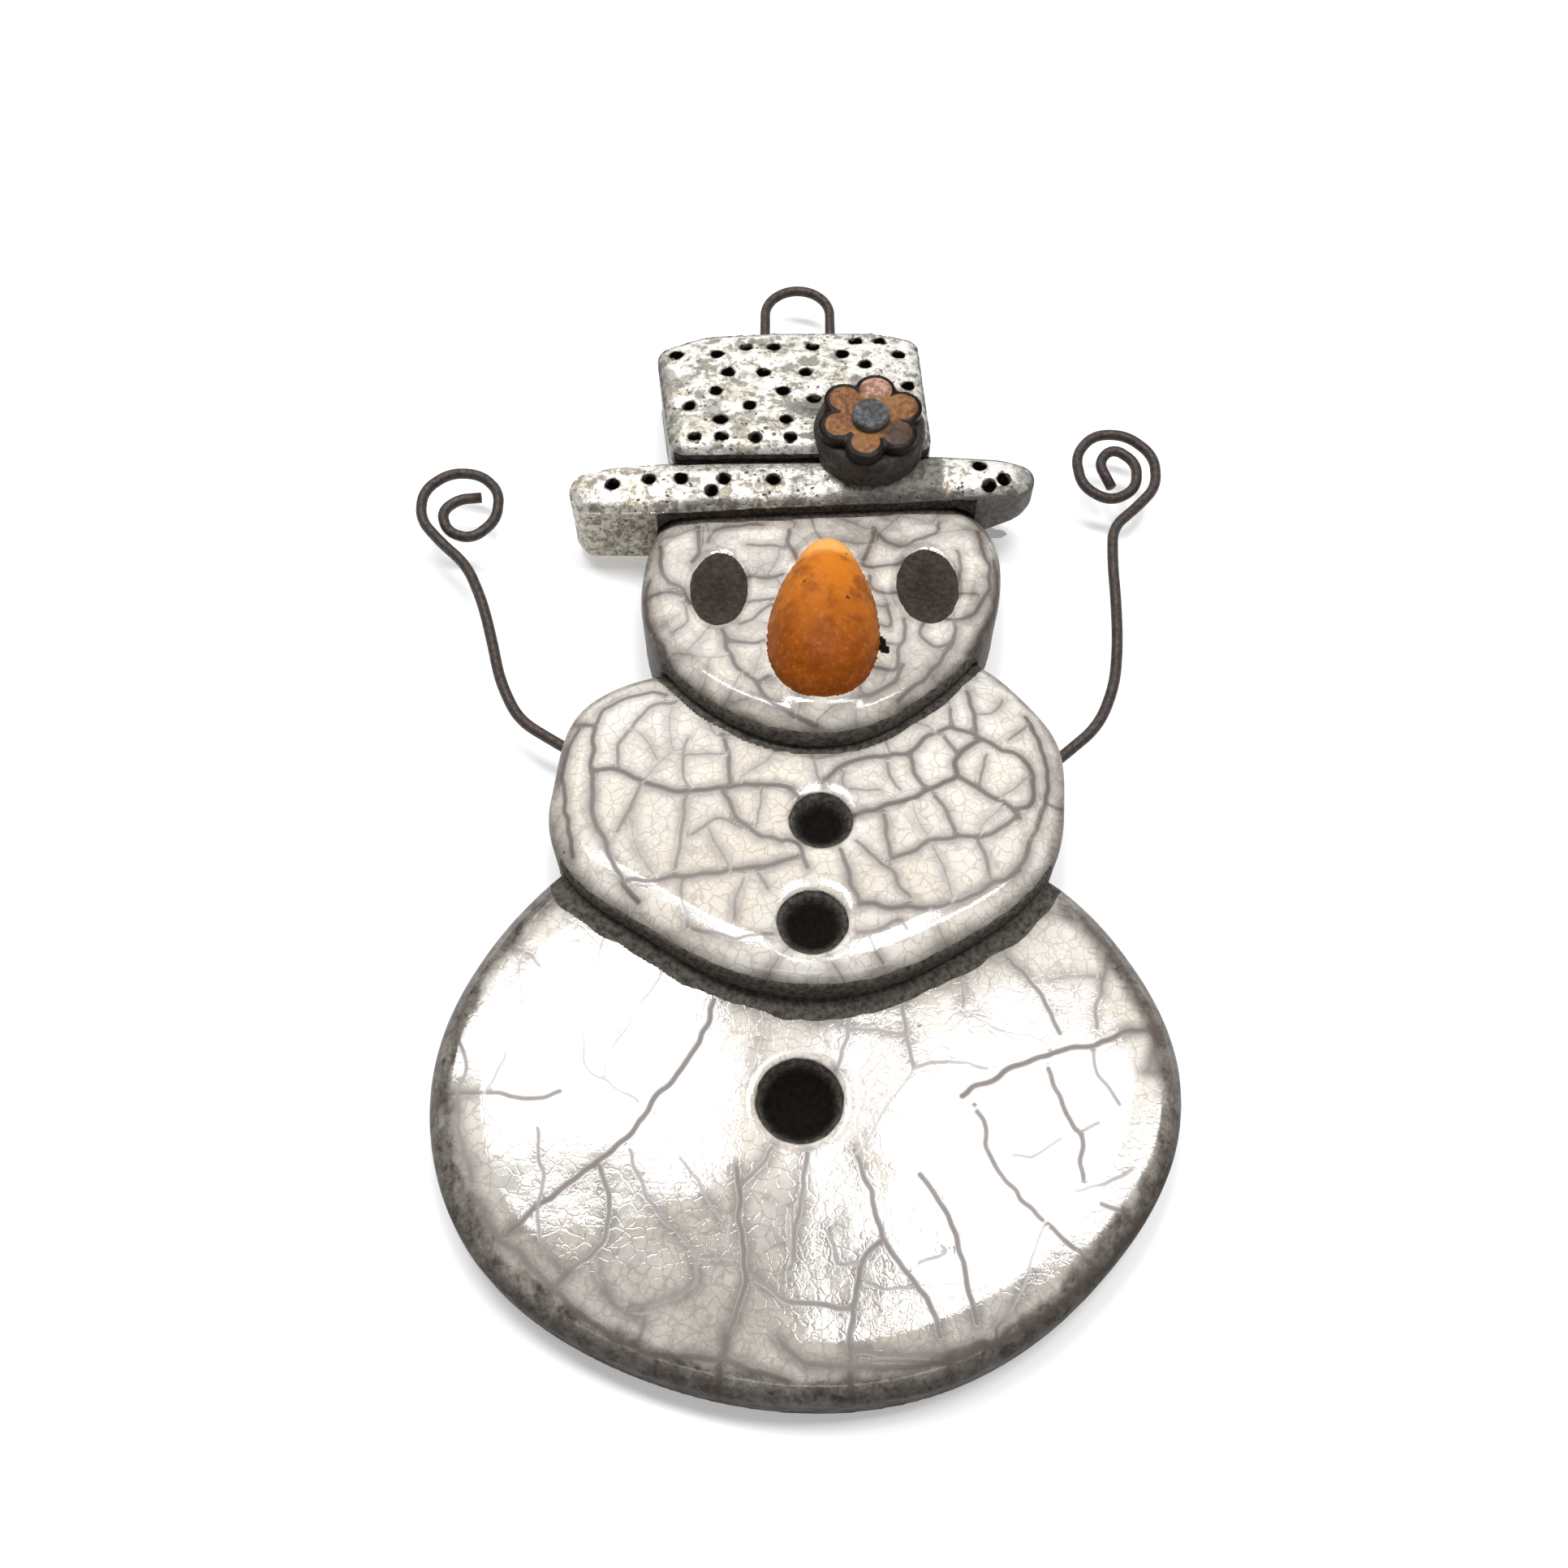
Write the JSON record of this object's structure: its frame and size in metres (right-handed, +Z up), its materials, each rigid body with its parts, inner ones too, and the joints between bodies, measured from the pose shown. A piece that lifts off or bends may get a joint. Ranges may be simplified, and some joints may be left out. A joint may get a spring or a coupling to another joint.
{
  "type": "hanging snowman ornament",
  "caption": "Flat-backed snowman of lapped glazed clay slabs with a pricked top hat, flower, carrot nose, curled wire arms and a wire hanging loop.",
  "frame": {"origin": "inside top of the hanging loop's wire, where a hook or ribbon bears, in the middle of the wire's thickness", "axes": "+Z up from the body towards the hat, +Y out of the flat back towards the wall or tree, so the front faces -Y, +X to the right as seen from the front"},
  "size_m": [0.0723, 0.0142, 0.1102],
  "materials": {
    "crackle_glaze": "gloss",
    "hat_glaze": "satin",
    "smoked_clay": "matte",
    "copper_glaze": "satin",
    "orange_glaze": "satin",
    "oxidised_wire": "satin"
  },
  "bodies": {
    "root": {"bottom_slab": "crackle_glaze", "middle_slab": "crackle_glaze", "head_slab": "crackle_glaze", "hat_brim": "hat_glaze", "hat_crown": "hat_glaze", "flower_base": "smoked_clay", "flower_petals": "copper_glaze", "flower_centre": "smoked_clay", "carrot_nose": "orange_glaze", "left_arm_wire": "oxidised_wire", "right_arm_wire": "oxidised_wire", "hanger_loop": "oxidised_wire"}
  },
  "joints": []
}
